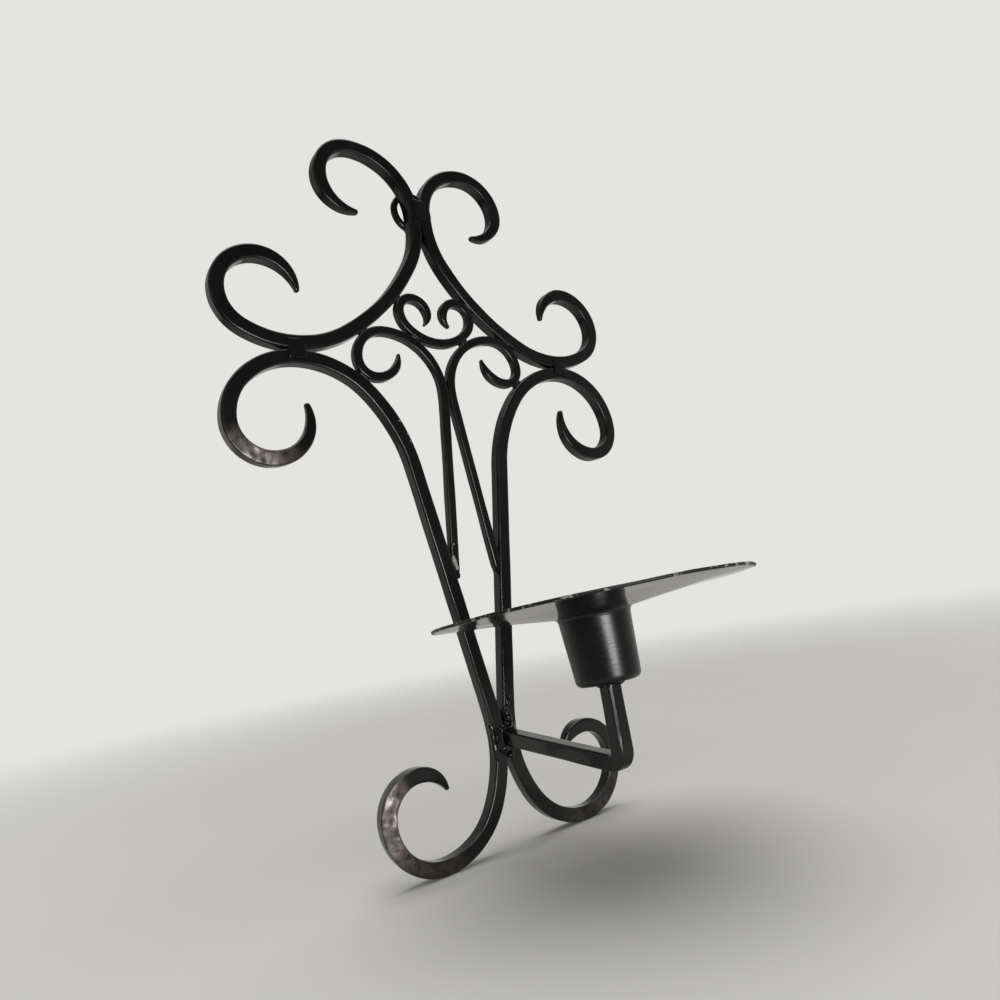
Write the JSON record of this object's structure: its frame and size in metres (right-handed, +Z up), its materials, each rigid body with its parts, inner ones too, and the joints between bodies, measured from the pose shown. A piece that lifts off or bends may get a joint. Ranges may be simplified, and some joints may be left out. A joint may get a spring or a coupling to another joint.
{
  "type": "candle wall sconce",
  "caption": "Wall sconce of bent black iron scrolls welded under collars, with an arm that carries a candle cup and a shallow drip pan, hung by a ring at the back.",
  "frame": {"origin": "centre of the hanger ring, on the wall", "axes": "+X to the right, +Y into the wall, +Z up"},
  "size_m": [0.2008, 0.1344, 0.314],
  "materials": {
    "bar": "satin black paint on forged iron bar",
    "sheet": "semi-gloss black paint on pressed sheet",
    "weld": "black paint over weld bead"
  },
  "bodies": {
    "root": {"arm": "bar", "arm_root_weld": "weld", "candle_cup": "sheet", "cup_weld": "weld", "curl_welds": "weld", "drip_pan": "sheet", "hanger_ring": "bar", "hanger_welds": "weld", "heart_scroll": "bar", "heart_welds": "weld", "left_collar": "bar", "left_crown_scroll": "bar", "left_inner_scroll": "bar", "left_stem_scroll": "bar", "neck_weld": "weld", "pan_weld": "weld", "right_collar": "bar", "right_crown_scroll": "bar", "right_inner_scroll": "bar", "right_stem_scroll": "bar", "scarf_welds": "weld", "top_collar": "bar", "waist_weld": "weld"}
  },
  "joints": []
}
